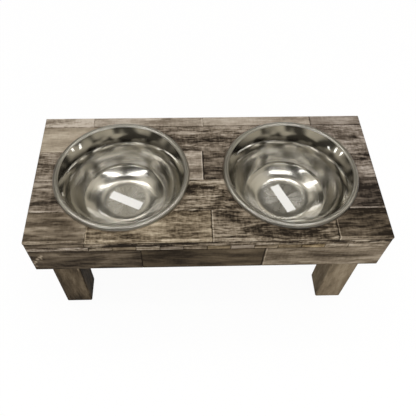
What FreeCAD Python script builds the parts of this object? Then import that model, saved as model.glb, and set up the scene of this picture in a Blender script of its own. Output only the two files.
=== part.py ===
import FreeCAD, Part
import math
import os
import Sketcher

# Elevated double pet feeder: a low wooden stand that carries two lift-out bowls.
# Millimetres. +X runs along the stand, +Y to its back, +Z up.
# The origin is on the floor, under the middle of the stand.

os.makedirs("parts", exist_ok=True)
doc = FreeCAD.newDocument("elevated_double_pet_feeder")
sheet = doc.addObject("Spreadsheet::Sheet", "Sizes")

# Driving dimensions
SIZES = (
    ("bowl_rim_radius", 80, "outside of the rolled rim"),
    ("rim_bead_width", 8, "across the rolled rim"),
    ("sheet_thickness", 0.8, "metal of the bowl"),
    ("bowl_depth", 52.5, "seat of the rim to the inside of the floor"),
    ("wall_spread", 21, "the bowl's wall leans out by this much"),
    ("flare_width", 10, "upper part of that wall, which leans out more"),
    ("flare_drop", 10.8, "from the seat down to where the flare begins"),
    ("flare_radius", 25, "bend between the wall and its flare"),
    ("dish_width", 28.5, "dished edge of the floor, from the flat to the wall"),
    ("dish_height", 9.5, "rise of that dished edge"),
    ("dish_radius", 120, "hollow of the dished edge"),
    ("floor_turn_radius", 16, "bend between the flat floor and the dished edge"),
    ("crease_round", 1.5, "inside rounding where the floor's edge meets the wall"),
    ("label_length", 43, "paper label on the bowl's floor"),
    ("label_width", 12, "paper label on the bowl's floor"),
    ("label_thickness", 0.2, "paper label on the bowl's floor"),
    ("opening_clearance", 1.7, "bowl wall to the edge of its opening"),
    ("bowl_gap", 38.6, "between the two rims"),
    ("end_margin", 20.7, "rim to the end of the top"),
    ("side_margin", 12, "rim to the front or back of the top"),
    ("plank_thickness", 4.5, "thin boards that clad the top"),
    ("opening_web", 1.5, "left of the second row between an opening and the back row"),
    ("edge_ease", 0.6, "broken edges of the boards"),
    ("strip_height", 8, "upper course of the front edge"),
    ("block_height", 7, "lower course of the front edge"),
    ("block_count", 11, "short blocks of that course"),
    ("left_end_block", 68, "long block at the left end"),
    ("right_end_block", 46, "long block at the right end"),
    ("apron_height", 41, "skirt under the top"),
    ("apron_thickness", 12, "skirt, and depth of the edge courses"),
    ("leg_width", 33.5, "square legs"),
    ("leg_length", 156, "floor to the underside of the panel"),
    ("leg_ease", 1.2, "broken edges of the legs"),
    ("batten_height", 24, "batten behind the joints of the skirt"),
    ("batten_thickness", 8, ""),
    ("batten_rise", 4, "above the lower edge of the skirt"),
    ("shank_radius", 2, "wood screws"),
    ("head_radius", 4, ""),
    ("head_height", 2.4, ""),
    ("tip_length", 4, ""),
    ("screw_clearance", 0.05, "around a screw in its hole"),
    ("leg_screw_bite", 18, "depth of the panel screw in the leg"),
    ("counterbore_depth", 5, "recess for the skirt screw's head"),
    ("skirt_screw_offset", 7, "skirt screw beside the leg's middle"),
)
for row, (alias, number, note) in enumerate(SIZES, 1):
    sheet.set("A%d" % row, alias)
    sheet.set("B%d" % row, str(number))
    sheet.set("C%d" % row, note)
    sheet.setAlias("B%d" % row, alias)
doc.recompute()

# Rows of the top: their edges from the narrow back row to the front, and their joints from the left
ROW_NAMES = ("back_row", "second_row", "third_row", "fourth_row", "front_row")
ROW_EDGE_SHARES = (0, 0.244, 0.509, 0.768, 1)
ROW_JOINT_SHARES = (
    (0.15375, 0.4975, 0.84125),
    (0.32625, 0.67),
    (0.1475, 0.49125, 0.835),
    (0.32875, 0.6725),
    (0.165, 0.50875, 0.8525),
)
STRIP_JOINT_SHARES = (0.16125,)
SKIRT_JOINT_SHARES = (0.31125, 0.65875)

# Turn of each label, as a share of a full turn
LABEL_TURN_SHARES = {"left": -0.0736, "right": -0.1847}

# Shares of the piece that carries the place
TIP_RADIUS_SHARE = 0.2
SKIRT_BITE_SHARE = 0.7
LONG_SIDE_SCREW_SHARE = 0.25
SHORT_SIDE_SCREW_SHARE = 0.65
LARGEST_EASE_SHARE = 0.2

# Worked out from the sizes
WALL_RADIUS = "(Sizes.bowl_rim_radius - Sizes.rim_bead_width)"
CREASE_RADIUS = "(%s - Sizes.wall_spread)" % WALL_RADIUS
FLOOR_RADIUS = "(%s - Sizes.dish_width)" % CREASE_RADIUS
KNEE_RADIUS = "(%s - Sizes.flare_width)" % WALL_RADIUS
OPENING_RADIUS = "(%s + Sizes.sheet_thickness + Sizes.opening_clearance)" % WALL_RADIUS
BOWL_OFFSET = "(Sizes.bowl_rim_radius + Sizes.bowl_gap / 2)"
LENGTH = "(4 * Sizes.bowl_rim_radius + Sizes.bowl_gap + 2 * Sizes.end_margin)"
DEPTH = "(2 * Sizes.bowl_rim_radius + 2 * Sizes.side_margin)"
PANEL_HEIGHT = "(Sizes.strip_height + Sizes.block_height)"
PANEL_TOP = "(Sizes.leg_length + %s)" % PANEL_HEIGHT
SEAT = "(%s + Sizes.plank_thickness)" % PANEL_TOP
SKIRT_BOTTOM = "(Sizes.leg_length - Sizes.apron_height)"
HOLE_RADIUS = "(Sizes.shank_radius + Sizes.screw_clearance)"
HEAD_HOLE_RADIUS = "(Sizes.head_radius + Sizes.screw_clearance)"
SIDES = (("left", -1), ("right", 1))
ENDS = (("front", -1), ("back", 1))
FULL_TURN = 360
EPSILON = 1e-6


def value(expression):
    """The number that an expression of the sheet gives."""
    return float(sheet.evalExpression(str(expression)))


def new_body(label, x, y, z):
    """An empty body whose corner or axis stands at x, y, z."""
    body = doc.addObject("PartDesign::Body", label)
    body.Label = label
    for axis, expression in zip("xyz", (x, y, z)):
        body.setExpression("Placement.Base." + axis, str(expression))
    return body


def blank(body, length, width, height):
    """The plain block that a wooden piece is cut from."""
    block = body.newObject("PartDesign::AdditiveBox", body.Label + "_blank")
    block.setExpression("Length", length)
    block.setExpression("Width", width)
    block.setExpression("Height", height)
    doc.recompute()
    return block


def edges_in_plane(shape, axis, high):
    """Names of the edges that lie in one flat side of a block."""
    box = shape.BoundBox
    low_limit, high_limit = {
        "x": (box.XMin, box.XMax),
        "y": (box.YMin, box.YMax),
        "z": (box.ZMin, box.ZMax),
    }[axis]
    limit = high_limit if high else low_limit
    return [
        "Edge%d" % number
        for number, edge in enumerate(shape.Edges, 1)
        if all(abs(getattr(corner.Point, axis) - limit) < EPSILON for corner in edge.Vertexes)
    ]


def ease(body, base, edges, size):
    """Break the named edges, by no more than a share of a thin piece."""
    chamfer = body.newObject("PartDesign::Chamfer", body.Label + "_eased")
    chamfer.Base = (base, edges)
    box = base.Shape.BoundBox
    thinnest = min(box.XLength, box.YLength, box.ZLength)
    if value(size) <= thinnest * LARGEST_EASE_SHARE:
        chamfer.setExpression("Size", size)
    else:
        chamfer.Size = thinnest * LARGEST_EASE_SHARE
    doc.recompute()
    return chamfer


def board(label, corner, size, shown=("z", True)):
    """A rectangular board; the edges of its shown side are broken."""
    body = new_body(label, *corner)
    block = blank(body, *size)
    ease(body, block, edges_in_plane(block.Shape, *shown), "Sizes.edge_ease")
    return body


def bore(body, label, centre, radius, height, direction=(0, 0, 1), end_radius=None):
    """Cut a round hole, or a cone where the far end has a radius of its own."""
    kind = "PartDesign::SubtractiveCylinder" if end_radius is None else "PartDesign::SubtractiveCone"
    hole = body.newObject(kind, body.Label + "_" + label)
    if end_radius is None:
        hole.setExpression("Radius", radius)
    else:
        hole.setExpression("Radius1", radius)
        hole.setExpression("Radius2", end_radius)
    hole.setExpression("Height", height)
    turn = FreeCAD.Rotation(FreeCAD.Vector(0, 0, 1), FreeCAD.Vector(*direction))
    hole.Placement = FreeCAD.Placement(FreeCAD.Vector(), turn)
    for axis, expression in zip("xyz", centre):
        hole.setExpression("Placement.Base." + axis, str(expression))
    doc.recompute()
    return hole


def laid(total, joint_shares):
    """Start and length of each board between the joints of a course."""
    places = (0,) + joint_shares + (1,)
    return [
        ("(%s * %s)" % (low, total), "((%s - %s) * %s)" % (high, low, total))
        for low, high in zip(places, places[1:])
    ]


def reaches_opening(x, y, length, width, side):
    """Whether the opening for a bowl cuts into a plank."""
    low_x = value(x) - side * value(BOWL_OFFSET)
    low_y = value(y)
    high_x = low_x + value(length)
    high_y = low_y + value(width)
    near = math.hypot(max(low_x, -high_x, 0), max(low_y, -high_y, 0))
    return near < value(OPENING_RADIUS)


def top_planks():
    """Five rows of thin boards, cut out around the two bowls."""
    back_row_width = "(%s / 2 - %s - Sizes.opening_web)" % (DEPTH, OPENING_RADIUS)
    edges = ["0"]
    for share in ROW_EDGE_SHARES:
        edges.append("(%s + %s * (%s - %s))" % (back_row_width, share, DEPTH, back_row_width))
    for name, back, front, joint_shares in zip(ROW_NAMES, edges, edges[1:], ROW_JOINT_SHARES):
        y = "(%s / 2 - %s)" % (DEPTH, front)
        width = "(%s - %s)" % (front, back)
        for number, (start, length) in enumerate(laid(LENGTH, joint_shares), 1):
            x = "(%s - %s / 2)" % (start, LENGTH)
            label = "%s_plank_%d" % (name, number)
            plank = board(label, (x, y, PANEL_TOP), (length, width, "Sizes.plank_thickness"))
            for word, side in SIDES:
                if reaches_opening(x, y, length, width, side):
                    centre = ("%d * %s - %s" % (side, BOWL_OFFSET, x), "-%s" % y, 0)
                    bore(plank, word + "_opening", centre, OPENING_RADIUS, "Sizes.plank_thickness")


def leg_centre(side, end):
    """Middle of a leg: inside the corner of the skirt."""
    inset = "(Sizes.apron_thickness + Sizes.leg_width / 2)"
    x = "%d * (%s / 2 - %s)" % (side, LENGTH, inset)
    y = "%d * (%s / 2 - %s)" % (end, DEPTH, inset)
    return x, y


def deck_panel():
    """The board under the planks that carries the bowls, screwed to the legs."""
    half_length = "(%s / 2 - Sizes.apron_thickness)" % LENGTH
    half_depth = "(%s / 2 - Sizes.apron_thickness)" % DEPTH
    corner = ("-" + half_length, "-" + half_depth, "Sizes.leg_length")
    panel = board("deck_panel", corner, ("2 * " + half_length, "2 * " + half_depth, PANEL_HEIGHT))
    for word, side in SIDES:
        centre = ("%s + %d * %s" % (half_length, side, BOWL_OFFSET), half_depth, 0)
        bore(panel, word + "_opening", centre, OPENING_RADIUS, PANEL_HEIGHT)
    sink = "%s - Sizes.head_height" % PANEL_HEIGHT
    for word, side in SIDES:
        for place, end in ENDS:
            x, y = leg_centre(side, end)
            centre = ("%s + %s" % (half_length, x), "%s + %s" % (half_depth, y))
            name = "%s_%s_" % (place, word)
            bore(panel, name + "hole", centre + (0,), HOLE_RADIUS, PANEL_HEIGHT)
            bore(panel, name + "countersink", centre + (sink,), HOLE_RADIUS, "Sizes.head_height",
                 end_radius=HEAD_HOLE_RADIUS)


def front_edge():
    """Upper course of long strips over a lower course of short blocks."""
    y = "-%s / 2" % DEPTH
    for number, (start, length) in enumerate(laid(LENGTH, STRIP_JOINT_SHARES), 1):
        corner = ("%s - %s / 2" % (start, LENGTH), y, "Sizes.leg_length + Sizes.block_height")
        size = (length, "Sizes.apron_thickness", "Sizes.strip_height")
        board("front_edge_strip_%d" % number, corner, size, ("y", False))
    between = "(%s - Sizes.left_end_block - Sizes.right_end_block)" % LENGTH
    block_length = "(%s / Sizes.block_count)" % between
    blocks = [("front_edge_left_end", "0", "Sizes.left_end_block")]
    for number in range(int(value("Sizes.block_count"))):
        start = "(Sizes.left_end_block + %d * %s)" % (number, block_length)
        blocks.append(("front_edge_block_%02d" % (number + 1), start, block_length))
    last = "(%s - Sizes.right_end_block)" % LENGTH
    blocks.append(("front_edge_right_end", last, "Sizes.right_end_block"))
    for label, start, length in blocks:
        corner = ("%s - %s / 2" % (start, LENGTH), y, "Sizes.leg_length")
        size = (length, "Sizes.apron_thickness", "Sizes.block_height")
        board(label, corner, size, ("y", False))


def other_edges():
    """One-piece lippings at the back and at both ends."""
    back_y = "%s / 2 - Sizes.apron_thickness" % DEPTH
    board("back_edge_strip", ("-%s / 2" % LENGTH, back_y, "Sizes.leg_length"),
          (LENGTH, "Sizes.apron_thickness", PANEL_HEIGHT), ("y", True))
    span = "(%s - 2 * Sizes.apron_thickness)" % DEPTH
    for word, side in SIDES:
        x = "%d * (%s / 2 - Sizes.apron_thickness / 2) - Sizes.apron_thickness / 2" % (side, LENGTH)
        board(word + "_edge_strip", (x, "-%s / 2" % span, "Sizes.leg_length"),
              ("Sizes.apron_thickness", span, PANEL_HEIGHT), ("x", side > 0))


def skirt_screws():
    """Axis point at the leg's inner face, outward direction, and name of each screw."""
    screws = []
    for word, side in SIDES:
        for place, end in ENDS:
            x, y = leg_centre(side, end)
            low = "%s + %s * Sizes.apron_height" % (SKIRT_BOTTOM, LONG_SIDE_SCREW_SHARE)
            high = "%s + %s * Sizes.apron_height" % (SKIRT_BOTTOM, SHORT_SIDE_SCREW_SHARE)
            along_y = ("%s - %d * Sizes.skirt_screw_offset" % (x, side),
                       "%s - %d * Sizes.leg_width / 2" % (y, end), low)
            along_x = ("%s - %d * Sizes.leg_width / 2" % (x, side),
                       "%s - %d * Sizes.skirt_screw_offset" % (y, end), high)
            screws.append((along_y, (0, end, 0), place, word))
            screws.append((along_x, (side, 0, 0), word, place))
    return screws


def skirt_screw_length():
    """Head recess to the end of the thread in the skirt."""
    return "(Sizes.leg_width - Sizes.counterbore_depth + %s * Sizes.apron_thickness)" % SKIRT_BITE_SHARE


def skirt_board(label, corner, size, shown, face, neighbour):
    """One board of the skirt, with a pilot hole wherever a screw enters it."""
    body = board(label, corner, size, shown)
    box = body.Shape.BoundBox
    for start, direction, on_face, beside in skirt_screws():
        if on_face != face:
            continue
        place = FreeCAD.Vector(*[value(number) for number in start])
        if neighbour == "x" and not box.XMin < place.x < box.XMax:
            continue
        local = ["%s - (%s)" % (a, b) for a, b in zip(start, corner)]
        bore(body, beside + "_hole", local, HOLE_RADIUS,
             "%s + Sizes.counterbore_depth" % skirt_screw_length(), direction)


def skirt():
    """Three boards on each long side and one at each end, around the legs."""
    for place, end in ENDS:
        y = "%d * (%s / 2 - Sizes.apron_thickness / 2) - Sizes.apron_thickness / 2" % (end, DEPTH)
        for number, (start, length) in enumerate(laid(LENGTH, SKIRT_JOINT_SHARES), 1):
            corner = ("%s - %s / 2" % (start, LENGTH), y, SKIRT_BOTTOM)
            size = (length, "Sizes.apron_thickness", "Sizes.apron_height")
            label = "%s_skirt_board_%d" % (place, number)
            skirt_board(label, corner, size, ("y", end > 0), place, "x")
    span = "(%s - 2 * Sizes.apron_thickness)" % DEPTH
    for word, side in SIDES:
        x = "%d * (%s / 2 - Sizes.apron_thickness / 2) - Sizes.apron_thickness / 2" % (side, LENGTH)
        corner = (x, "-%s / 2" % span, SKIRT_BOTTOM)
        size = ("Sizes.apron_thickness", span, "Sizes.apron_height")
        skirt_board(word + "_skirt_board", corner, size, ("x", side > 0), word, "")


def battens():
    """A batten between the legs behind the joints of each long side."""
    span = "(%s - 2 * Sizes.apron_thickness - 2 * Sizes.leg_width)" % LENGTH
    for place, end in ENDS:
        middle = "(%s / 2 - Sizes.apron_thickness - Sizes.batten_thickness / 2)" % DEPTH
        y = "%d * %s - Sizes.batten_thickness / 2" % (end, middle)
        board(place + "_batten", ("-%s / 2" % span, y, "%s + Sizes.batten_rise" % SKIRT_BOTTOM),
              (span, "Sizes.batten_thickness", "Sizes.batten_height"), ("y", end < 0))


def legs():
    """Four square legs with a hole from the top and two recessed cross holes."""
    half = "Sizes.leg_width / 2"
    for word, side in SIDES:
        for place, end in ENDS:
            x, y = leg_centre(side, end)
            corner = ("%s - %s" % (x, half), "%s - %s" % (y, half), 0)
            leg = new_body("%s_%s_leg" % (place, word), *corner)
            block = blank(leg, "Sizes.leg_width", "Sizes.leg_width", "Sizes.leg_length")
            upright = [
                "Edge%d" % number
                for number, edge in enumerate(block.Shape.Edges, 1)
                if edge.BoundBox.ZLength > EPSILON
            ]
            foot = edges_in_plane(block.Shape, "z", False)
            ease(leg, block, upright + foot, "Sizes.leg_ease")
            bore(leg, "top_hole", (half, half, "Sizes.leg_length - Sizes.leg_screw_bite"),
                 HOLE_RADIUS, "Sizes.leg_screw_bite")
            for start, direction, face, beside in skirt_screws():
                if {face, beside} != {place, word}:
                    continue
                local = ["%s - (%s)" % (a, b) for a, b in zip(start, corner)]
                under_head = ["%s + %d * Sizes.counterbore_depth" % pair for pair in zip(local, direction)]
                bore(leg, face + "_hole", local, HOLE_RADIUS, "Sizes.leg_width", direction)
                bore(leg, face + "_recess", local, HEAD_HOLE_RADIUS,
                     "Sizes.counterbore_depth", direction)
                bore(leg, face + "_countersink", under_head, HEAD_HOLE_RADIUS,
                     "Sizes.head_height", direction, end_radius=HOLE_RADIUS)


def screw(length):
    """A countersunk wood screw along +Z; the flat of its head is at the origin."""
    shank = value("Sizes.shank_radius")
    tip = shank * TIP_RADIUS_SHARE
    points = [
        (0, 0), (value("Sizes.head_radius"), 0), (shank, value("Sizes.head_height")),
        (shank, length - value("Sizes.tip_length")), (tip, length), (0, length), (0, 0),
    ]
    outline = Part.makePolygon([FreeCAD.Vector(radius, 0, height) for radius, height in points])
    return Part.Face(outline).revolve(FreeCAD.Vector(), FreeCAD.Vector(0, 0, 1), FULL_TURN)


def screw_group(label, length, places):
    """Identical screws, each a solid of its own, in one sub-part."""
    one = screw(length)
    solids = []
    for start, direction in places:
        copy = one.copy()
        turn = FreeCAD.Rotation(FreeCAD.Vector(0, 0, 1), FreeCAD.Vector(*direction))
        copy.Placement = FreeCAD.Placement(FreeCAD.Vector(*start), turn)
        solids.append(copy)
    group = doc.addObject("Part::Feature", label)
    group.Label = label
    group.Shape = Part.makeCompound(solids)
    group.Placement = FreeCAD.Placement()


def screws():
    """Four screws down through the panel and eight outwards into the skirt."""
    down = []
    for word, side in SIDES:
        for place, end in ENDS:
            x, y = leg_centre(side, end)
            down.append(((value(x), value(y), value(PANEL_TOP)), (0, 0, -1)))
    bite = "%s + Sizes.leg_screw_bite" % PANEL_HEIGHT
    screw_group("panel_screws", value(bite), down)
    recess = value("Sizes.counterbore_depth")
    outward = []
    for start, direction, face, beside in skirt_screws():
        place = [value(number) + recess * step for number, step in zip(start, direction)]
        outward.append((place, direction))
    screw_group("skirt_screws", value(skirt_screw_length()), outward)


def heading(start, end):
    """Direction from one point to another, as an angle from the X axis."""
    return math.atan2(end[1] - start[1], end[0] - start[0])


def stepped(point, direction, distance):
    """The point at a distance from another in a direction."""
    return point[0] + distance * math.cos(direction), point[1] + distance * math.sin(direction)


def crossing(first, first_radius, second, second_radius):
    """Crossing of two circles that lies left of the way from the first centre to the second."""
    gap = math.dist(first, second)
    share = (gap ** 2 + first_radius ** 2 - second_radius ** 2) / (2 * gap * first_radius)
    return stepped(first, heading(first, second) + math.acos(share), first_radius)


def add_arc(sketch, centre, radius, first, second):
    """An arc run counter-clockwise from the first point to the second."""
    angles = [math.atan2(y - centre[1], x - centre[0]) for x, y in (first, second)]
    if angles[1] < angles[0]:
        angles[1] += 2 * math.pi
    axis = FreeCAD.Vector(0, 0, 1)
    circle = Part.Circle(FreeCAD.Vector(*centre, 0), axis, radius)
    return sketch.addGeometry(Part.ArcOfCircle(circle, *angles))


def bowl_profile(body):
    """Half section of a bowl: radius across, height above its seat upwards."""
    metal = value("Sizes.sheet_thickness")
    depth = value("Sizes.bowl_depth")
    rim = value("Sizes.bowl_rim_radius")
    bead = value("Sizes.rim_bead_width") / 2
    flat = value(FLOOR_RADIUS)
    turn = value("Sizes.floor_turn_radius")
    dish = value("Sizes.dish_radius")
    bend = value("Sizes.flare_radius")
    crease = (value(CREASE_RADIUS), value("Sizes.dish_height") - depth)
    knee = (value(KNEE_RADIUS), -value("Sizes.flare_drop"))
    turn_centre = (flat, turn - depth)
    dish_centre = crossing(turn_centre, dish - turn, crease, dish)
    bead_centre = (rim - bead, 0)
    turn_end = heading(dish_centre, turn_centre)
    up_wall = heading(crease, knee)
    up_flare = heading(knee, bead_centre) + math.asin(bead / math.dist(knee, bead_centre))
    from_wall, from_flare = up_wall + math.pi / 2, up_flare + math.pi / 2
    wall_top = stepped(knee, up_wall, -bend * math.tan((up_wall - up_flare) / 2))
    bend_centre = stepped(wall_top, from_wall, -bend)
    outer_wall_top = stepped(bend_centre, from_wall, bend - metal)
    outer_crease = stepped(crease, from_wall, -metal)

    sketch = body.newObject("Sketcher::SketchObject", body.Label + "_profile")
    plane = [item for item in body.Origin.OriginFeatures if item.Role == "XZ_Plane"][0]
    sketch.AttachmentSupport = [(plane, "")]
    sketch.MapMode = "FlatFace"

    def line(first, second):
        return sketch.addGeometry(Part.LineSegment(
            FreeCAD.Vector(*first, 0), FreeCAD.Vector(*second, 0)))

    def arc(centre, radius, first_direction, second):
        return add_arc(sketch, centre, radius, stepped(centre, first_direction, radius), second)

    floor_inside = line((0, -depth), (flat, -depth))
    turn_inside = arc(turn_centre, turn, -math.pi / 2, stepped(turn_centre, turn_end, turn))
    dish_inside = arc(dish_centre, dish, turn_end, crease)
    wall_inside = line(crease, wall_top)
    bend_inside = arc(bend_centre, bend, from_flare, wall_top)
    flare_inside = line(stepped(bend_centre, from_flare, bend), stepped(bead_centre, from_flare, bead))
    bead_outside = arc(bead_centre, bead, 0, stepped(bead_centre, from_flare, bead))
    curl_end = line((rim, 0), (rim - metal, 0))
    bead_inside = arc(bead_centre, bead - metal, 0, stepped(bead_centre, from_flare, bead - metal))
    flare_outside = line(stepped(bend_centre, from_flare, bend - metal),
                         stepped(bead_centre, from_flare, bead - metal))
    bend_outside = arc(bend_centre, bend - metal, from_flare, outer_wall_top)
    wall_outside = line(outer_crease, outer_wall_top)
    dish_outside = arc(dish_centre, dish + metal, turn_end, outer_crease)
    turn_outside = arc(turn_centre, turn + metal, -math.pi / 2,
                       stepped(turn_centre, turn_end, turn + metal))
    floor_outside = line((flat, -depth - metal), (0, -depth - metal))
    axis_line = line((0, -depth - metal), (0, -depth))
    knee_point = sketch.addGeometry(Part.Point(FreeCAD.Vector(*knee, 0)), True)

    start, end, middle = 1, 2, 3
    for pair in (
        (floor_inside, end, turn_inside, start),
        (turn_inside, end, dish_inside, start),
        (wall_inside, end, bend_inside, end),
        (bend_inside, start, flare_inside, start),
        (flare_inside, end, bead_outside, end),
        (bead_inside, end, flare_outside, end),
        (flare_outside, start, bend_outside, start),
        (bend_outside, end, wall_outside, end),
        (dish_outside, start, turn_outside, end),
        (turn_outside, start, floor_outside, start),
    ):
        sketch.addConstraint(Sketcher.Constraint("Tangent", *pair))
    for pair in (
        (dish_inside, end, wall_inside, start),
        (bead_outside, start, curl_end, start),
        (curl_end, end, bead_inside, start),
        (wall_outside, start, dish_outside, end),
        (floor_outside, end, axis_line, start),
        (axis_line, end, floor_inside, start),
        (turn_inside, middle, turn_outside, middle),
        (dish_inside, middle, dish_outside, middle),
        (bend_inside, middle, bend_outside, middle),
        (bead_inside, middle, bead_outside, middle),
    ):
        sketch.addConstraint(Sketcher.Constraint("Coincident", *pair))
    for pair in ((wall_inside, wall_outside), (flare_inside, flare_outside)):
        sketch.addConstraint(Sketcher.Constraint("Parallel", *pair))
    for item in (floor_inside, curl_end, floor_outside):
        sketch.addConstraint(Sketcher.Constraint("Horizontal", item))
    x_axis, y_axis = -1, -2
    for item, point, path in (
        (axis_line, start, y_axis),
        (axis_line, end, y_axis),
        (bead_outside, start, x_axis),
        (bead_outside, middle, x_axis),
        (knee_point, start, wall_inside),
        (knee_point, start, flare_inside),
    ):
        sketch.addConstraint(Sketcher.Constraint("PointOnObject", item, point, path))

    def measure(kind, place, expression, guess):
        number = sketch.addConstraint(Sketcher.Constraint(kind, *place, guess))
        sketch.setExpression("Constraints[%d]" % number, expression)

    origin = (-1, 1)
    measure("DistanceX", origin + (floor_inside, end), FLOOR_RADIUS, flat)
    measure("DistanceY", (floor_inside, start) + origin, "Sizes.bowl_depth", depth)
    measure("Radius", (turn_inside,), "Sizes.floor_turn_radius", turn)
    measure("Radius", (dish_inside,), "Sizes.dish_radius", dish)
    measure("DistanceX", origin + (dish_inside, end), CREASE_RADIUS, crease[0])
    measure("DistanceY", (dish_inside, end) + origin,
            "Sizes.bowl_depth - Sizes.dish_height", -crease[1])
    measure("DistanceX", origin + (knee_point, start), KNEE_RADIUS, knee[0])
    measure("DistanceY", (knee_point, start) + origin, "Sizes.flare_drop", -knee[1])
    measure("Radius", (bend_inside,), "Sizes.flare_radius", bend)
    measure("DistanceX", origin + (bead_outside, start), "Sizes.bowl_rim_radius", rim)
    measure("Radius", (bead_outside,), "Sizes.rim_bead_width / 2", bead)
    measure("DistanceX", (curl_end, end, curl_end, start), "Sizes.sheet_thickness", metal)
    measure("DistanceY", (floor_outside, start) + origin,
            "Sizes.bowl_depth + Sizes.sheet_thickness", depth + metal)
    doc.recompute()
    return sketch


def bowl(word, side):
    """A pressed bowl whose rolled rim rests on the planks around its opening."""
    body = new_body(word + "_bowl", "%d * %s" % (side, BOWL_OFFSET), 0, SEAT)
    profile = bowl_profile(body)
    shell = body.newObject("PartDesign::Revolution", body.Label + "_shell")
    shell.Profile = profile
    shell.ReferenceAxis = (profile, ["V_Axis"])
    shell.Angle = FULL_TURN
    doc.recompute()
    crease = value(CREASE_RADIUS)
    level = value("Sizes.dish_height - Sizes.bowl_depth")
    inner = [
        "Edge%d" % number
        for number, edge in enumerate(shell.Shape.Edges, 1)
        if isinstance(edge.Curve, Part.Circle)
        and abs(edge.Curve.Radius - crease) < EPSILON
        and abs(edge.Curve.Center.z - level) < EPSILON
    ]
    rounded = body.newObject("PartDesign::Fillet", body.Label + "_rounded")
    rounded.Base = (shell, inner)
    rounded.setExpression("Radius", "Sizes.crease_round")
    doc.recompute()


def bowl_label(word, side):
    """A paper label stuck to the middle of the bowl's floor."""
    floor = "%s - Sizes.bowl_depth" % SEAT
    body = new_body(word + "_bowl_label", "%d * %s" % (side, BOWL_OFFSET), 0, floor)
    turn = FreeCAD.Rotation(FreeCAD.Vector(0, 0, 1), LABEL_TURN_SHARES[word] * FULL_TURN)
    body.Placement = FreeCAD.Placement(body.Placement.Base, turn)
    paper = blank(body, "Sizes.label_length", "Sizes.label_width", "Sizes.label_thickness")
    paper.setExpression("Placement.Base.x", "-Sizes.label_length / 2")
    paper.setExpression("Placement.Base.y", "-Sizes.label_width / 2")


top_planks()
deck_panel()
front_edge()
other_edges()
skirt()
battens()
legs()
screws()
for word, side in SIDES:
    bowl(word, side)
    bowl_label(word, side)
doc.recompute()

# Nothing is written unless every object and every sub-part is sound
failed = [item.Label for item in doc.Objects if {"Invalid", "Error"} & set(item.State)]
pieces = [item for item in doc.Objects if item.TypeId in ("PartDesign::Body", "Part::Feature")]
failed += [item.Label for item in pieces if item.Shape.isNull() or not item.Shape.isValid()]
if failed:
    raise RuntimeError("not sound: " + ", ".join(failed))
for item in pieces:
    item.Shape.exportStep("parts/%s.step" % item.Label)
print(len(pieces), "sub-parts written")
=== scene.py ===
import math

import bpy
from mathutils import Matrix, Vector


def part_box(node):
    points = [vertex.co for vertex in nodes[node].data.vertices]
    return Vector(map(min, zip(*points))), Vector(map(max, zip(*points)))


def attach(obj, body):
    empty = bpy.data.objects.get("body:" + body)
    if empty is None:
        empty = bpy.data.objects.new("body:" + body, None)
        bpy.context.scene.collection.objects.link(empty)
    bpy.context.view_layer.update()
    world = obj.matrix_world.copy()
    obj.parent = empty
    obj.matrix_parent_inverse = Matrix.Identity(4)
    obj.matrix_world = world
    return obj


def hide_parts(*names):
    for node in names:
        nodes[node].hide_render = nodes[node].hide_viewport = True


# Elevated double pet feeder: a weathered wooden stand that carries two lift-out bowls.
# Metres. +X runs along the stand, +Y to its back, +Z up.

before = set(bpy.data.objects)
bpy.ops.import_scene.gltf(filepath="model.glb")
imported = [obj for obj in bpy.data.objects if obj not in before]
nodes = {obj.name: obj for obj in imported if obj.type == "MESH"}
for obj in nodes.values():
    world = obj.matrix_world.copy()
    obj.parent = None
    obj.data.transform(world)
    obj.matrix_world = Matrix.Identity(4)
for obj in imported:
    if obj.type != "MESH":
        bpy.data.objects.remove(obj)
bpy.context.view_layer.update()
MILLIMETRE = 0.001


# Wiring of materials

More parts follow.
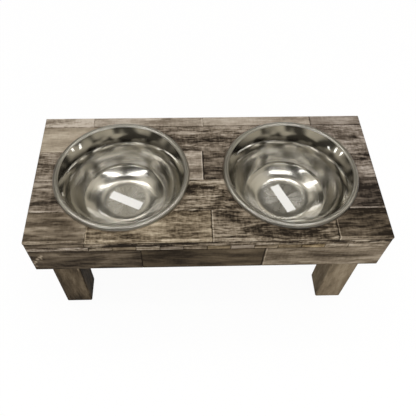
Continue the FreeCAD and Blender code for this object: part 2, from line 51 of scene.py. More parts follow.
class Wiring:
    """Adds shader nodes to one tree and joins them."""

    def __init__(self, tree):
        self.tree = tree

    def add(self, kind, inputs=None, **settings):
        """A node; each input, by name or number, takes a value or another node's output."""
        node = self.tree.nodes.new("ShaderNode" + kind)
        for name, setting in settings.items():
            setattr(node, name, setting)
        for name, given in (inputs or {}).items():
            socket = node.inputs[name]
            if isinstance(given, bpy.types.NodeSocket):
                self.tree.links.new(given, socket)
            else:
                socket.default_value = given
        return node

    def here(self):
        """The shaded point in the piece's own coordinates, in metres."""
        return self.add("TexCoord").outputs["Object"]

    def maths(self, operation, *given, clamp=False):
        node = self.add("Math", dict(enumerate(given)), operation=operation, use_clamp=clamp)
        return node.outputs[0]

    def weighted(self, *pairs):
        """Sum of some values, each times its weight."""
        total = 0.0
        for given, weight in reversed(pairs):
            total = self.maths("MULTIPLY_ADD", given, weight, total)
        return total

    def vector(self, operation, *given):
        node = self.add("VectorMath", dict(enumerate(given)), operation=operation)
        return node.outputs["Value" if operation in ("LENGTH", "DOT_PRODUCT") else "Vector"]

    def split(self, place):
        return self.add("SeparateXYZ", {0: place}).outputs

    def joined(self, x, y=0.0, z=0.0):
        return self.add("CombineXYZ", {0: x, 1: y, 2: z}).outputs[0]

    def noise(self, place, scale, seed=0.0, detail=3.0, roughness=0.55):
        """Noise at a place times a scale; each seed has its own pattern."""
        node = self.add("TexNoise", {
            "Vector": self.vector("MULTIPLY", place, scale), "W": seed, "Scale": 1.0,
            "Detail": detail, "Roughness": roughness,
        }, noise_dimensions="4D")
        return node.outputs[0]

    def fade(self, given, low, high, start=0.0, end=1.0):
        """Goes softly from start to end as the given value goes from low to high."""
        node = self.add("MapRange", {0: given, 1: low, 2: high, 3: start, 4: end},
                        interpolation_type="SMOOTHSTEP")
        return node.outputs[0]

    def tint(self, amount, first, second, mode="MIX"):
        node = self.add("Mix", {0: amount, 6: first, 7: second}, data_type="RGBA", blend_type=mode)
        return node.outputs[2]

    def ramp(self, given, colours):
        """Colour for a value from 0 to 1, by positions and their colours."""
        node = self.add("ValToRGB", {0: given})
        stops = node.color_ramp.elements
        while len(stops) < len(colours):
            stops.new(0.5)
        for stop, (position, colour) in zip(stops, colours):
            stop.position = position
            stop.color = colour
        return node.outputs[0]


def new_material(name):
    """An empty material and the wiring of its tree."""
    material = bpy.data.materials.new(name)
    material.use_nodes = True
    material.node_tree.nodes.clear()
    return material, Wiring(material.node_tree)


def surface(wiring, **inputs):
    """Ends a material in one Principled shader; an underscore stands for a space."""
    named = {name.replace("_", " "): given for name, given in inputs.items()}
    shader = wiring.add("BsdfPrincipled", named)
    wiring.add("OutputMaterial", {"Surface": shader.outputs[0]})


def dress(name, material):
    """Gives all slots of a CAD node one material."""
    for slot in nodes[name].material_slots:
        slot.material = material


# Weathered wood, with its lengths in millimetres

WOOD_INPUTS = (
    ("Place", "Vector"), ("Low", "Vector"), ("High", "Vector"), ("Tint", "Color"),
    ("Level", "Float"), ("Contrast", "Float"), ("Streaks", "Float"), ("Wear", "Float"),
    ("Shade", "Float"), ("Seed", "Float"),
)
WOOD_OUTPUTS = (("Color", "Color"), ("Roughness", "Float"), ("Height", "Float"))
# Tone and the colour it stands for, from stain to limewash
WOOD_RAMP = (
    (0.0, (0.019, 0.0145, 0.0105, 1)),
    (0.25, (0.085, 0.066, 0.046, 1)),
    (0.5, (0.19, 0.154, 0.112, 1)),
    (0.75, (0.32, 0.272, 0.208, 1)),
    (1.0, (0.47, 0.41, 0.33, 1)),
)
# Scale along and across the grain, detail and roughness of each layer of noise, which are
# cloud, smear, brush, saw and fine
GRAIN_LAYERS = (
    ((0.012, 0.045, 0.045), 2.0, 0.5),
    ((0.022, 0.12, 0.12), 3.0, 0.55),
    ((0.055, 0.38, 0.38), 3.0, 0.6),
    ((0.4, 0.15, 0.15), 2.0, 0.5),
    ((0.14, 1.2, 1.2), 2.0, 0.5),
)
LAYER_SEED_STEP = 3.7
PORE_SEED_STEP = 9.9
# How far the grain wavers to its sides, and how light or dark it gets
WAVER = 9.0
RELIEF_LIMIT = 1.6
PORE_TONE = 0.08
# Worn edges are lighter over a ragged width, and the seams between boards darker
WORN_TONE = 0.35
WORN_SPREAD, WORN_OFFSET, WORN_LEAST = 5.0, -1.6, 0.15
SEAM_TONE = -0.42
SEAM_START, SEAM_END = 0.3, 0.9
GRAIN_BUMP, GRAIN_BUMP_STRENGTH = 0.4 * MILLIMETRE, 0.5
WOOD_SHINE = 0.01


def edge_distance(w, place, low, high):
    """Distance to the nearest edge of a board, taken as the middle one of those to its faces."""
    from_low = w.split(w.vector("SUBTRACT", place, low))
    from_high = w.split(w.vector("SUBTRACT", high, place))
    in_x, in_y, in_z = (w.maths("MINIMUM", *pair) for pair in zip(from_low, from_high))
    nearest = w.maths("MINIMUM", w.maths("MAXIMUM", in_x, in_y), in_z)
    return w.maths("MAXIMUM", w.maths("MINIMUM", in_x, in_y), nearest)


def weathered_grain():
    """Node group: worn stain and limewash along X in a board with the given corners."""
    tree = bpy.data.node_groups.new("weathered_grain", "ShaderNodeTree")
    for in_out, sockets in (("INPUT", WOOD_INPUTS), ("OUTPUT", WOOD_OUTPUTS)):
        for name, kind in sockets:
            tree.interface.new_socket(name, in_out=in_out, socket_type="NodeSocket" + kind)
    w = Wiring(tree)
    given = tree.nodes.new("NodeGroupInput").outputs
    seed = given["Seed"]
    waver = w.noise(given["Place"], scale=(0.02, 0.03, 0.03), seed=seed, detail=2.0)
    waver = w.maths("MULTIPLY_ADD", waver, WAVER, -WAVER / 2)
    x, y, z = w.split(given["Place"])
    place = w.joined(x, w.maths("ADD", y, waver), w.maths("ADD", z, waver))

    layers = []
    for scale, detail, roughness in GRAIN_LAYERS:
        seed = w.maths("ADD", seed, LAYER_SEED_STEP)
        layers.append(w.maths("SUBTRACT", w.noise(place, scale, seed, detail, roughness), 0.5))
    cloud, smear, brush, saw, fine = layers
    soft = w.weighted((cloud, 2.6), (smear, 3.4))
    crisp = w.weighted((brush, 3.4), (saw, 1.3), (fine, 1.7))
    relief = w.maths("MULTIPLY_ADD", crisp, given["Streaks"], soft)
    relief = w.fade(relief, -RELIEF_LIMIT, RELIEF_LIMIT, -RELIEF_LIMIT, RELIEF_LIMIT)
    pore_seed = w.maths("ADD", seed, PORE_SEED_STEP)
    pores = w.noise(place, scale=(0.06, 2.6, 2.6), seed=pore_seed, detail=2.0)
    tone = w.maths("MULTIPLY_ADD", relief, given["Contrast"], given["Level"])
    tone = w.maths("ADD", tone, given["Shade"])
    tone = w.maths("SUBTRACT", tone, w.fade(pores, 0.58, 0.72, end=PORE_TONE))

    to_edge = edge_distance(w, given["Place"], given["Low"], given["High"])
    ragged = w.noise(given["Place"], scale=(0.09, 0.09, 0.09), seed=seed,
                     detail=4.0, roughness=0.75)
    reach = w.maths("MULTIPLY_ADD", ragged, WORN_SPREAD, WORN_OFFSET)
    reach = w.maths("MAXIMUM", reach, WORN_LEAST)
    worn = w.maths("SUBTRACT", 1.0, w.maths("DIVIDE", to_edge, reach), clamp=True)
    worn = w.maths("MULTIPLY", w.fade(worn, 0.05, 0.6), given["Wear"])
    tone = w.maths("MULTIPLY_ADD", worn, WORN_TONE, tone)
    seam = w.fade(to_edge, SEAM_START, SEAM_END, start=1.0, end=0.0)
    seam = w.maths("MULTIPLY", seam, w.fade(ragged, 0.4, 0.6, start=1.0, end=0.5))
    tone = w.maths("MULTIPLY_ADD", seam, SEAM_TONE, tone)

    colour = w.tint(1.0, w.ramp(tone, WOOD_RAMP), given["Tint"], "MULTIPLY")
    results = {
        "Color": colour,
        "Roughness": w.fade(tone, 0.1, 0.9, start=0.6, end=0.8),
        "Height": w.maths("ADD", tone, fine),
    }
    output = tree.nodes.new("NodeGroupOutput")
    for name, socket in results.items():
        tree.links.new(socket, output.inputs[name])
    return tree


GRAIN = weathered_grain()
# Turn of the pattern for boards along each axis
TURNS = {"x": (0, 0, 0), "y": (0, 0, -math.pi / 2), "z": (0, math.pi / 2, 0)}
TINTS = {
    "silver": (0.98, 1.0, 1.12, 1),
    "grey": (0.99, 1.0, 1.06, 1),
    "plain": (1.0, 1.0, 1.0, 1),
    "tan": (1.02, 1.0, 0.94, 1),
    "brown": (1.04, 1.0, 0.88, 1),
    "umber": (1.08, 1.0, 0.8, 1),
    "bare": (1.25, 1.1, 0.85, 1),
}


def turned(corner, along):
    """A point of the stand in the space where a board's grain runs along X."""
    x, y, z = (number / MILLIMETRE for number in corner)
    return {"x": (x, y, z), "y": (y, -x, z), "z": (z, y, -x)}[along]


def mark_tone(w, place, turn, seed, marks):
    """Tone that a board's marks add, each with a ragged outline."""
    total = 0.0
    if marks:
        wander = w.noise(turn, scale=(0.08, 0.35, 0.35), seed=seed + 1,
                         detail=3.0, roughness=0.6)
        wander = w.maths("SUBTRACT", wander, 0.5)
        for middle, reach, tone in marks:
            away = w.vector("SUBTRACT", place, middle)
            away = w.vector("MULTIPLY", away, tuple(1 / size if size else 0 for size in reach))
            ragged = w.maths("ADD", w.vector("LENGTH", away), wander)
            total = w.maths("ADD", w.fade(ragged, 0.3, 1.1, start=tone, end=0.0), total)
    return total


def board_finish(name, tint, level, contrast, streaks, wear, seed, along, marks):
    """Gives a board its own weathered wood."""
    material, w = new_material(name + "_wood")
    place = w.vector("MULTIPLY", w.here(), (1 / MILLIMETRE,) * 3)
    turn = w.add("Mapping", {"Vector": place, "Rotation": TURNS[along]}).outputs[0]
    corners = [turned(corner, along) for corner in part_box(name)]
    group = w.add("Group", {
        "Place": turn,
        "Low": tuple(min(pair) for pair in zip(*corners)),
        "High": tuple(max(pair) for pair in zip(*corners)),
        "Shade": mark_tone(w, place, turn, seed, marks),
        "Seed": seed, "Tint": TINTS[tint], "Level": level, "Contrast": contrast,
        "Streaks": streaks, "Wear": wear,
    }, node_tree=GRAIN)
    bump = w.add("Bump", {
        "Height": group.outputs["Height"], "Strength": GRAIN_BUMP_STRENGTH,
        "Distance": GRAIN_BUMP,
    })
    surface(w, Base_Color=group.outputs["Color"], Roughness=group.outputs["Roughness"],
            Normal=bump.outputs[0], Specular_IOR_Level=WOOD_SHINE)
    dress(name, material)


# Tint, level, contrast, streaks and edge wear of each board
BOARDS = {
    "back_row_plank_1": ("grey", 0.85, 0.31, 0.9, 0.3),
    "back_row_plank_2": ("grey", 0.75, 0.23, 0.9, 0.3),
    "back_row_plank_3": ("grey", 0.70, 0.18, 0.9, 0.3),
    "back_row_plank_4": ("silver", 0.59, 0.17, 0.9, 0.3),
    "second_row_plank_1": ("plain", 0.69, 0.20, 0.5, 0.3),
    "second_row_plank_2": ("grey", 0.41, 0.29, 1.3, 0.3),
    "second_row_plank_3": ("silver", 0.60, 0.26, 1.3, 0.3),
    "third_row_plank_1": ("grey", 0.45, 0.26, 1.2, 0.3),
    "third_row_plank_2": ("grey", 0.67, 0.32, 0.8, 0.3),
    "third_row_plank_3": ("grey", 0.20, 0.24, 1.2, 0.3),
    "third_row_plank_4": ("silver", 0.34, 0.30, 1.4, 0.3),
    "fourth_row_plank_1": ("grey", 0.40, 0.26, 1.0, 0.5),
    "fourth_row_plank_2": ("plain", 0.27, 0.38, 1.1, 0.8),
    "fourth_row_plank_3": ("silver", 0.15, 0.24, 0.9, 0.6),
    "front_row_plank_1": ("plain", 0.34, 0.34, 0.35, 0.8),
    "front_row_plank_2": ("tan", 0.39, 0.42, 0.8, 0.8),
    "front_row_plank_3": ("plain", 0.25, 0.32, 1.3, 0.6),
    "front_row_plank_4": ("plain", 0.23, 0.28, 0.6, 0.5),
    "front_edge_strip_1": ("plain", 0.30, 0.18, 0.8, 0.2),
    "front_edge_strip_2": ("plain", 0.31, 0.52, 0.8, 0.2),
    "front_edge_left_end": ("grey", 0.61, 0.56, 0.6, 0.1),
    "front_edge_block_01": ("plain", 0.36, 0.68, 0.4, 0.1),
    "front_edge_block_02": ("tan", 0.41, 0.34, 0.4, 0.1),
    "front_edge_block_03": ("plain", 0.77, 0.58, 0.4, 0.1),
    "front_edge_block_04": ("grey", 0.66, 0.40, 0.4, 0.1),
    "front_edge_block_05": ("plain", 0.24, 0.62, 0.4, 0.1),
    "front_edge_block_06": ("brown", 0.49, 0.29, 0.4, 0.1),
    "front_edge_block_07": ("grey", 0.76, 0.25, 0.4, 0.1),
    "front_edge_block_08": ("tan", 0.43, 0.34, 0.4, 0.1),
    "front_edge_block_09": ("brown", 0.30, 0.43, 0.4, 0.1),
    "front_edge_block_10": ("umber", 0.40, 0.59, 0.4, 0.1),
    "front_edge_block_11": ("plain", 0.52, 0.70, 0.4, 0.1),
    "front_edge_right_end": ("plain", 0.68, 0.42, 0.6, 0.1),
    "back_edge_strip": ("plain", 0.4, 0.36, 0.8, 0.2),
    "left_edge_strip": ("plain", 0.38, 0.36, 0.8, 0.2),
    "right_edge_strip": ("plain", 0.4, 0.36, 0.8, 0.2),
    "front_skirt_board_1": ("plain", 0.21, 0.21, 0.40, 0.4),
    "front_skirt_board_2": ("tan", 0.12, 0.11, 0.50, 0.3),
    "front_skirt_board_3": ("plain", 0.43, 0.22, 0.6, 0.3),
    "back_skirt_board_1": ("plain", 0.4, 0.36, 0.6, 0.3),
    "back_skirt_board_2": ("plain", 0.28, 0.32, 0.6, 0.3),
    "back_skirt_board_3": ("tan", 0.44, 0.36, 0.6, 0.3),
    "left_skirt_board": ("plain", 0.3, 0.36, 0.6, 0.3),
    "right_skirt_board": ("tan", 0.42, 0.36, 0.6, 0.3),
    "deck_panel": ("bare", 0.8, 0.14, 0.5, 0.0),
    "front_batten": ("bare", 0.75, 0.18, 0.5, 0.0),
    "back_batten": ("bare", 0.75, 0.18, 0.5, 0.0),
    "front_left_leg": ("tan", 0.18, 0.15, 0.40, 0.3),
    "front_right_leg": ("tan", 0.44, 0.14, 0.5, 0.3),
    "back_left_leg": ("tan", 0.35, 0.27, 0.35, 0.3),
    "back_right_leg": ("tan", 0.42, 0.27, 0.35, 0.3),
}
# Marks of each board: middle, reach each way (0 for endless), tone; the front left leg's darker
# inner side is painted shade
MARKS = {
    "back_row_plank_1": (((-173.5, 78.5, 0), (5, 3, 0), -0.25), ((0, 76.5, 0), (0, 0.8, 0), -0.2)),
    "back_row_plank_2": (
        ((-46, 89.5, 0), (10, 3.5, 0), -0.35), ((-1.8, 84, 0), (0.8, 0, 0), 0.3),
        ((0, 76.5, 0), (0, 0.8, 0), -0.2),
    ),
    "back_row_plank_3": (((136.1, 84, 0), (1, 0, 0), -0.5), ((0, 76.5, 0), (0, 0.8, 0), -0.2)),
    "back_row_plank_4": (((0, 76.5, 0), (0, 0.8, 0), -0.2),),
    "second_row_plank_1": (((0, 35.8, 0), (0, 0.9, 0), 0.2),),
    "second_row_plank_2": (((0, 37, 0), (60, 1.6, 0), -0.3),),
    "second_row_plank_3": (((188, 53.5, 0), (9, 5, 0), -0.3), ((0, 35.8, 0), (0, 0.9, 0), 0.2)),
    "third_row_plank_1": (((0, -8.8, 0), (0, 0.8, 0), 0.2),),
    "third_row_plank_2": (((-4.4, 0, 0), (0.9, 0, 0), 0.3), ((0, -8.8, 0), (0, 0.8, 0), 0.2)),
    "third_row_plank_3": (((-2.8, 0, 0), (0.9, 0, 0), -0.3),),
    "third_row_plank_4": (
        ((182, 21, 0), (20, 8, 0), -0.2), ((183, 3.5, 0), (18, 6, 0), 0.2),
        ((0, -8.8, 0), (0, 0.8, 0), -0.3),
    ),
    "fourth_row_plank_1": (((0, -52.2, 0), (0, 1, 0), 0.35),),
    "fourth_row_plank_2": (
        ((0, -13, 0), (40, 1.2, 0), 0.3), ((0, -34, 0), (35, 1.5, 0), 0.3),
        ((-20, -24, 0), (9, 4, 0), -0.35), ((11.5, -44.5, 0), (8, 6, 0), -0.3),
        ((0, -52.2, 0), (0, 1, 0), 0.35),
    ),
    "fourth_row_plank_3": (((0, -52.2, 0), (0, 1, 0), 0.4),),
    "front_row_plank_1": (((0, -91.2, 0), (0, 1.4, 0), 0.25),),
    "front_row_plank_2": (
        ((-133.2, 0, 0), (0.9, 0, 0), 0.25), ((2.9, 0, 0), (0.8, 0, 0), -0.35),
        ((0, -91.2, 0), (0, 1.4, 0), 0.25),
    ),
    "front_row_plank_3": (
        ((4.5, 0, 0), (0.9, 0, 0), 0.3), ((140.4, 0, 0), (0.8, 0, 0), -0.35),
        ((0, -91.2, 0), (0, 1.4, 0), 0.3),
    ),
    "front_row_plank_4": (((141.8, 0, 0), (0.9, 0, 0), 0.4), ((0, -91.2, 0), (0, 1.4, 0), 0.25)),
    "front_edge_strip_1": (((0, 0, 170.4), (0, 0, 0.8), -0.3),),
    "front_edge_strip_2": (
        ((0, 0, 170.4), (0, 0, 0.8), -0.3), ((-95, 0, 0), (38, 0, 0), -0.35),
        ((175, 0, 0), (28, 0, 0), 0.15),
    ),
    "front_skirt_board_1": (
        ((-197.7, 0, 130), (1.8, 0, 3.4), 0.45), ((-195.4, 0, 133.3), (2.2, 0, 2.6), 0.45),
        ((-192.1, 0, 139.8), (2.7, 0, 3), 0.5), ((-188.7, 0, 144.1), (3, 0, 2.4), 0.45),
        ((-186.3, 0, 146.3), (2.3, 0, 2.6), 0.4), ((-187.7, 0, 140.9), (2, 0, 3.2), 0.4),
        ((-197.2, 0, 123.6), (2.4, 0, 2.2), 0.4), ((-105, 0, 145), (28, 0, 12), 0.12),
        ((0, 0, 115), (0, 0, 4), -0.1), ((-155, 0, 126), (30, 0, 12), -0.1),
    ),
    "front_skirt_board_2": (
        ((62.8, 0, 0), (1, 0, 0), -0.4), ((-45, 0, 0), (30, 0, 0), -0.06),
        ((0, 0, 115), (0, 0, 4), -0.08), ((35, 0, 0), (40, 0, 0), 0.08),
    ),
    "front_skirt_board_3": (
        ((64.6, 0, 0), (1, 0, 0), 0.2), ((168, 0, 135), (28, 0, 5), -0.2),
        ((0, 0, 115), (0, 0, 4), -0.12),
    ),
    "front_left_leg": (
        # The darker band at the inner side face, x -154.5, is painted shade
        ((-157.3, 0, 104), (1.5, 0, 22), 0.4), ((-154.5, 0, 0), (1.8, 0, 0), -0.16),
        ((-172, 0, 82), (14, 0, 28), 0.08), ((0, 0, 0), (0, 0, 20), -0.08),
    ),
}
ACROSS = ("left_edge_strip", "right_edge_strip", "left_skirt_board", "right_skirt_board")
BOARD_SEED_STEP = 17.3
for number, (name, finish) in enumerate(BOARDS.items()):
    along = "y" if name in ACROSS else "z" if name.endswith("leg") else "x"
    board_finish(name, *finish, seed=number * BOARD_SEED_STEP, along=along,
                 marks=MARKS.get(name, ()))


# Bowls. A place in their section is a radius and a height above the seat.

RIM_RADIUS = 80 * MILLIMETRE
BEAD = 4 * MILLIMETRE
SHEET = 0.8 * MILLIMETRE
DEPTH = 52.5 * MILLIMETRE
WALL = RIM_RADIUS - 2 * BEAD
# The knee is where the wall turns to the flare, the crease where the dish turns to the wall
KNEE = (WALL - 10 * MILLIMETRE, -10.8 * MILLIMETRE)
KNEE_TURN = 60 * MILLIMETRE
DISH_HEIGHT = 9.5 * MILLIMETRE
CREASE = (WALL - 21 * MILLIMETRE, DISH_HEIGHT - DEPTH)
CREASE_TURN = 6 * MILLIMETRE
# The floor is flat up to this radius, then turns up to the dish
FLAT = CREASE[0] - 28.5 * MILLIMETRE
FLOOR_TURN = 40 * MILLIMETRE
DISH_TURN = 120 * MILLIMETRE
FIRST_RING = 2 * MILLIMETRE
FLOOR_RINGS = tuple(radius * MILLIMETRE for radius in (6, 12, 18))
# The floor's finish ends at the first radius, the rim's starts at the second
TURNED_RADIUS = 44 * MILLIMETRE
RIM_START = WALL + 0.8 * MILLIMETRE
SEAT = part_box("back_row_plank_1")[1].z
AROUND = 256
SMOOTH_ANGLE = math.radians(30)


def arc(centre, radius, first, second, steps):
    """Points of an arc from one angle to another, both ends included."""
    return [
        (centre[0] + radius * math.cos(first + (second - first) * step / steps),
         centre[1] + radius * math.sin(first + (second - first) * step / steps))
        for step in range(steps + 1)
    ]


def between(first, last, steps):
    """Points of a straight line, both ends included."""
    return [tuple(a + (b - a) * step / steps for a, b in zip(first, last))
            for step in range(steps + 1)]


def angle(centre, point):
    return math.atan2(point[1] - centre[1], point[0] - centre[0])


def crossing(first, first_radius, second, second_radius):
    """Left-hand crossing of two circles, seen from the first centre to the second."""
    gap = math.hypot(second[0] - first[0], second[1] - first[1])
    along = (gap ** 2 + first_radius ** 2 - second_radius ** 2) / (2 * gap)
    aside = math.sqrt(first_radius ** 2 - along ** 2)
    step = ((second[0] - first[0]) / gap, (second[1] - first[1]) / gap)
    return (first[0] + along * step[0] - aside * step[1],
            first[1] + along * step[1] + aside * step[0])


def bowl_profile():
    """Section of the sheet, from the floor's middle over the rim and back along the outside."""
    # The dish's arc goes on smoothly from the floor's turn and runs through the crease
    turn_centre = (FLAT, FLOOR_TURN - DEPTH)
    dish_centre = crossing(turn_centre, DISH_TURN - FLOOR_TURN, CREASE, DISH_TURN)
    turn_end = angle(dish_centre, turn_centre)

    # The flare is straight from the knee to the bead, and an arc rounds the knee
    bead_centre = (RIM_RADIUS - BEAD, 0)
    to_bead = math.dist(KNEE, bead_centre)
    flare_angle = angle(KNEE, bead_centre) + math.asin(BEAD / to_bead)
    wall_angle = angle(CREASE, KNEE)
    wall_step = (math.cos(wall_angle), math.sin(wall_angle))
    inward = (-wall_step[1], wall_step[0])
    back = KNEE_TURN * math.tan((wall_angle - flare_angle) / 2)
    knee_low = tuple(knee - back * step for knee, step in zip(KNEE, wall_step))
    knee_centre = tuple(low - KNEE_TURN * side for low, side in zip(knee_low, inward))
    wall_start, wall_end = wall_angle + math.pi / 2, flare_angle + math.pi / 2

    # The crease's fillet touches the wall's line and the dish's arc
    offset = [CREASE[axis] + CREASE_TURN * inward[axis] - dish_centre[axis] for axis in (0, 1)]
    drop = -(offset[0] * wall_step[0] + offset[1] * wall_step[1])
    reach = DISH_TURN - CREASE_TURN
    rise = drop - math.sqrt(drop ** 2 - math.hypot(*offset) ** 2 + reach ** 2)
    wall_foot = tuple(crease + rise * step for crease, step in zip(CREASE, wall_step))
    crease_centre = tuple(foot + CREASE_TURN * side for foot, side in zip(wall_foot, inward))
    crease_start, crease_end = angle(dish_centre, crease_centre), wall_angle - math.pi / 2

    inside = [(radius, -DEPTH) for radius in FLOOR_RINGS]
    inside += arc(turn_centre, FLOOR_TURN, -math.pi / 2, turn_end, steps=10)
    inside += arc(dish_centre, DISH_TURN, turn_end, crease_start, steps=14)[1:]
    inside += arc(crease_centre, CREASE_TURN, crease_start, crease_end, steps=12)[1:]
    inside += between(wall_foot, knee_low, steps=8)[1:]
    inside += arc(knee_centre, KNEE_TURN, wall_start, wall_end, steps=14)[1:]
    outside = arc(bead_centre, BEAD, wall_end, 0, steps=24)
    outside += arc(bead_centre, BEAD - SHEET, 0, wall_end, steps=12)
    outside += arc(knee_centre, KNEE_TURN - SHEET, wall_end, wall_start, steps=8)
    outside += arc(crease_centre, CREASE_TURN + SHEET, crease_end, crease_start, steps=8)
    outside += arc(dish_centre, DISH_TURN + SHEET, crease_start, turn_end, steps=8)[1:]
    outside += arc(turn_centre, FLOOR_TURN + SHEET, turn_end, -math.pi / 2, steps=4)[1:]
    return inside + outside + [(FIRST_RING, -DEPTH - SHEET)]


def select_none():
    if bpy.context.object and bpy.context.object.mode == "EDIT":
        bpy.ops.object.mode_set(mode="OBJECT")
    bpy.ops.object.select_all(action="DESELECT")


def bowl(word, middle):
    """A pressed bowl with a rolled rim, drawn out ring by ring from its floor."""
    select_none()
    axis = (middle.x, middle.y, 0)
    bpy.ops.mesh.primitive_circle_add(vertices=AROUND, radius=FIRST_RING, fill_type="TRIFAN",
                                      location=(middle.x, middle.y, SEAT - DEPTH))
    piece = bpy.context.object
    piece.name = word + "_bowl_metal"
    bpy.ops.object.transform_apply(location=True)
    bpy.ops.object.mode_set(mode="EDIT")
    bpy.ops.mesh.select_mode(type="EDGE")
    bpy.ops.mesh.select_all(action="SELECT")
    bpy.ops.mesh.region_to_loop()
    radius, height = FIRST_RING, -DEPTH
    for next_radius, next_height in bowl_profile():
        bpy.ops.mesh.extrude_edges_move(
            TRANSFORM_OT_translate={"value": (0, 0, next_height - height)})
        bpy.ops.transform.resize(value=(next_radius / radius, next_radius / radius, 1),
                                 center_override=axis)
        radius, height = next_radius, next_height
    bpy.ops.mesh.edge_face_add()
    bpy.ops.mesh.select_all(action="SELECT")
    bpy.ops.mesh.normals_make_consistent(inside=False)
    bpy.ops.object.mode_set(mode="OBJECT")
    bpy.ops.object.shade_smooth_by_angle(angle=SMOOTH_ANGLE)
    return piece


# Roughness, roughness beyond the knee, haze of the turning grooves and tone of each finish
STEEL_FINISHES = (
    ("polished_wall", 0.138, 0.095, 0.0, 1.0),
    ("turned_floor", 0.11, 0.11, 0.2, 1.05),
    ("satin_rim", 0.29, 0.29, 0.0, 0.92),
)
FLOOR_SLOT, RIM_SLOT = 1, 2
KNEE_BLEND = 3 * MILLIMETRE
SMEAR_SPREAD = 0.03
DULL_STEEL, CLEAR_STEEL = (0.58, 0.565, 0.53), (0.66, 0.645, 0.61)
# Lighter steel mixed into the turned floor towards its middle: a painted sheen
PAINTED_SHEEN_STEEL = (0.88, 0.865, 0.83, 1)
GROOVE_STRETCH = 0.7
DENT_SIZE, DENT_STRENGTH = 2 * MILLIMETRE, 0.15


def steel(name, middle, roughness, flare_roughness, haze, tone):
    """Stainless steel round a bowl's middle; fine turning grooves add haze to its polish, and the
    floor's steel lightens towards its middle as a painted sheen.
    """
    material, w = new_material(name)
    place = w.here()
    x, y, z = w.split(w.vector("SUBTRACT", place, tuple(middle)))
    away = w.maths("SQRT", w.maths("ADD", w.maths("MULTIPLY", x, x), w.maths("MULTIPLY", y, y)))
    smear = w.noise(place, scale=(30, 30, 60), seed=2.0, detail=4.0, roughness=0.6)
    cloud = w.noise(place, scale=(14, 14, 14), seed=5.0, detail=2.0)
    groove = w.noise(w.joined(away, z=z), scale=(3400, 1, 900), seed=3.0, detail=1.0)
    wedge = w.noise(w.joined(w.maths("ARCTAN2", y, x)), scale=(2.2, 1, 1), seed=6.0, detail=0.0)
    flat = w.fade(away, FLAT * 0.7, FLAT * 1.6, start=haze, end=haze * 0.3)
    cut = w.maths("MULTIPLY", w.fade(groove, 0.3, 0.7, start=0.75, end=1.0), flat)
    cut = w.maths("MULTIPLY", cut, w.fade(wedge, 0.35, 0.65, start=0.85, end=1.2))
    base = w.fade(away, KNEE[0] - KNEE_BLEND, KNEE[0] + KNEE_BLEND,
                  start=roughness, end=flare_roughness)
    base = w.maths("SUBTRACT", base, SMEAR_SPREAD / 2)
    rough = w.maths("ADD", w.maths("MULTIPLY_ADD", smear, SMEAR_SPREAD, base), cut)
    dull, clear = (tuple(tone * part for part in colour) + (1,)
                   for colour in (DULL_STEEL, CLEAR_STEEL))
    colour = w.tint(w.fade(cloud, 0.3, 0.7), dull, clear)
    # Painted sheen: the turned floor's colour lightens towards its middle
    colour = w.tint(w.maths("MULTIPLY", flat, 4.0, clamp=True), colour, PAINTED_SHEEN_STEEL)
    dents = w.noise(place, scale=(22, 22, 22), seed=8.0, detail=2.0)
    bump = w.add("Bump", {"Height": dents, "Strength": DENT_STRENGTH, "Distance": DENT_SIZE})
    inputs = {}
    if haze:
        inputs["Tangent"] = w.add("Tangent", direction_type="RADIAL", axis="Z").outputs[0]
        inputs["Anisotropic"] = GROOVE_STRETCH
    surface(w, Base_Color=colour, Metallic=1.0, Roughness=rough, Normal=bump.outputs[0], **inputs)
    return material


for word in ("left", "right"):
    low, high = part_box(word + "_bowl")
    middle = (low + high) / 2
    piece = bowl(word, middle)
    for finish, *look in STEEL_FINISHES:
        piece.data.materials.append(steel(word + "_" + finish, middle, *look))
    for face in piece.data.polygons:
        away = math.hypot(face.center.x - middle.x, face.center.y - middle.y)
        if away < TURNED_RADIUS and face.center.z < SEAT + CREASE[1]:
            face.material_index = FLOOR_SLOT
        elif away > RIM_START:
            face.material_index = RIM_SLOT
    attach(piece, word + "_bowl")
    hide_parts(word + "_bowl")


# Labels and screws

paper, w = new_material("label_paper")
fibre = w.noise(w.here(), scale=(900, 900, 900), seed=1.0, detail=3.0)
surface(w, Base_Color=w.tint(fibre, (0.84, 0.84, 0.83, 1), (0.92, 0.92, 0.91, 1)), Roughness=0.6)
screw_metal, w = new_material("screw_steel")
stain = w.noise(w.here(), scale=(400, 400, 400))
surface(w, Base_Color=w.tint(stain, (0.5, 0.44, 0.3, 1), (0.62, 0.55, 0.4, 1)),
        Metallic=1.0, Roughness=0.35)
for name, material in (("left_bowl_label", paper), ("right_bowl_label", paper),
                       ("panel_screws", screw_metal), ("skirt_screws", screw_metal)):
    dress(name, material)


# Floor, light and camera

FLOOR_SIZE = 8
FLOOR_DROP = 0.1 * MILLIMETRE
FLOOR_GLOW = 0.94
AMBIENT = 0.3


def seen(wiring):
    """1 for what the camera sees, straight or in metal and glass."""
    path = wiring.add("LightPath").outputs
    mirrored = wiring.maths("MAXIMUM", path["Is Glossy Ray"], path["Is Transmission Ray"])
    return wiring.maths("MAXIMUM", path["Is Camera Ray"], mirrored)


select_none()
bpy.ops.mesh.primitive_plane_add(size=FLOOR_SIZE, location=(0, 0, -FLOOR_DROP))
floor = bpy.context.object
floor.name = "floor"
floor_paint, w = new_material("floor_paint")
paint = w.add("BsdfDiffuse", {"Color": (0.93, 0.93, 0.93, 1)})
white = w.add("Emission", {"Color": (1, 1, 1, 1), "Strength": 1.0})
mixed = w.add("MixShader", {
    0: w.maths("MULTIPLY", seen(w), FLOOR_GLOW), 1: paint.outputs[0], 2: white.outputs[0],
})
w.add("OutputMaterial", {"Surface": mixed.outputs[0]})
floor_paint.cycles.emission_sampling = "NONE"
floor.data.materials.append(floor_paint)

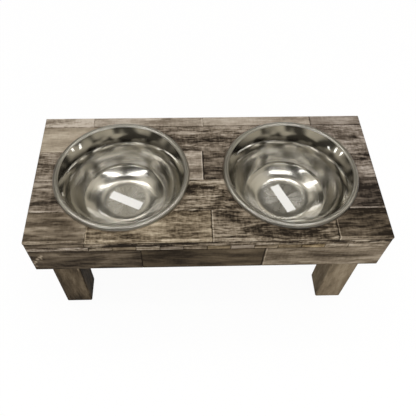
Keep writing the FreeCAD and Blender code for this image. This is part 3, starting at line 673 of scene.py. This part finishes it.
world = bpy.data.worlds.new("studio")
bpy.context.scene.world = world
world.use_nodes = True
world.node_tree.nodes.clear()
w = Wiring(world.node_tree)
brightness = w.maths("MULTIPLY_ADD", seen(w), 1 - AMBIENT, AMBIENT)
background = w.add("Background", {"Color": (1, 1, 1, 1), "Strength": brightness})
w.add("OutputWorld", {"Surface": background.outputs[0]})

# The steel mirrors a dim room with warm patches, coloured by height above the horizon
ROOM_RADIUS = 9
ROOM_DROP = 1 * MILLIMETRE
ROOM_COLOURS = (
    (0.0, (0.06, 0.054, 0.042, 1)),
    (0.22, (0.065, 0.058, 0.045, 1)),
    (0.36, (0.26, 0.236, 0.185, 1)),
    (0.62, (0.28, 0.257, 0.205, 1)),
    (0.88, (0.4, 0.375, 0.315, 1)),
)
# The room is lighter round the direction that the flares at the back of the bowls mirror
FLARE_SIDE = (-0.05, -0.64, 0.77)
select_none()
bpy.ops.mesh.primitive_uv_sphere_add(segments=48, ring_count=24, radius=ROOM_RADIUS)
room = bpy.context.object
room.name = "mirrored_room"
bpy.ops.object.mode_set(mode="EDIT")
bpy.ops.mesh.bisect(plane_co=(0, 0, -ROOM_DROP), plane_no=(0, 0, 1), clear_inner=True)
bpy.ops.object.mode_set(mode="OBJECT")
room_glow, w = new_material("room_glow")
around = w.vector("NORMALIZE", w.here())
_, back, up = w.split(around)
patches = w.noise(around, scale=(2.3, 2.3, 3.4), seed=4.0, detail=1.0)
toward = w.vector("DOT_PRODUCT", around, FLARE_SIDE)
level = w.maths("MULTIPLY", w.fade(patches, 0.41, 0.59, start=0.2, end=1.95),
                w.fade(toward, 0.86, 0.96, start=1.0, end=1.25))
level = w.maths("MULTIPLY", level, w.fade(back, -0.2, 0.7, start=0.8, end=1.15))
glow = w.add("Emission", {"Color": w.ramp(up, ROOM_COLOURS), "Strength": level})
w.add("OutputMaterial", {"Surface": glow.outputs[0]})
room_glow.cycles.emission_sampling = "NONE"
room.data.materials.append(room_glow)
room.visible_camera = False
room.visible_diffuse = False
room.visible_transmission = False
room.visible_shadow = False


def lamp(name, place, aim, size, power, colour=(1.0, 0.97, 0.92), mirrored=True):
    """A rectangular soft lamp turned towards a point; unmirrored, it stays out of the steel."""
    light = bpy.data.lights.new(name, "AREA")
    light.shape = "RECTANGLE"
    light.size, light.size_y = size
    light.energy = power
    light.color = colour
    holder = bpy.data.objects.new(name, light)
    bpy.context.scene.collection.objects.link(holder)
    holder.location = place
    gap = [a - b for a, b in zip(aim, place)]
    holder.rotation_euler = (math.atan2(math.hypot(gap[0], gap[1]), -gap[2]), 0,
                             math.atan2(gap[0], -gap[1]) + math.pi)
    holder.visible_glossy = mirrored


TUBE_HEIGHT = 2.6
TUBE_ROWS = (-1.4, -0.25, 0.75, 3.8)
TUBE_COLUMNS = (-5.2, -1.05, 0.6, 5.0)
for row, y in enumerate(TUBE_ROWS):
    for column, x in enumerate(TUBE_COLUMNS):
        lamp("tube_%d_%d" % (row, column), place=(x, y, TUBE_HEIGHT), aim=(x, y, 0),
             size=(1.1, 0.09), power=2.8, colour=(1.0, 0.99, 0.97))
lamp("ceiling_glow", place=(0, 0.1, 2.4), aim=(0, 0, 0), size=(3.2, 2.4), power=40,
     mirrored=False)
lamp("front_glow", place=(0.3, -2.4, 1.2), aim=(0, 0, 0.1), size=(2.4, 1.4), power=29,
     mirrored=False)

# The camera is fitted to the photo's edges and rims
CAMERA_PLACE = (-0.02933, -0.35723, 0.61541)
CAMERA_TURN = (33.937, -0.567, -1.424)
camera_data = bpy.data.cameras.new("camera")
camera_data.lens = 41.56
camera_data.sensor_width = 36
camera_data.shift_x = 0.0372
camera_data.shift_y = 0.0204
camera_data.clip_start = 0.01
camera = bpy.data.objects.new("camera", camera_data)
bpy.context.scene.collection.objects.link(camera)
camera.location = CAMERA_PLACE
camera.rotation_euler = tuple(math.radians(turn) for turn in CAMERA_TURN)
bpy.context.scene.camera = camera
bpy.context.scene.view_settings.view_transform = "Standard"
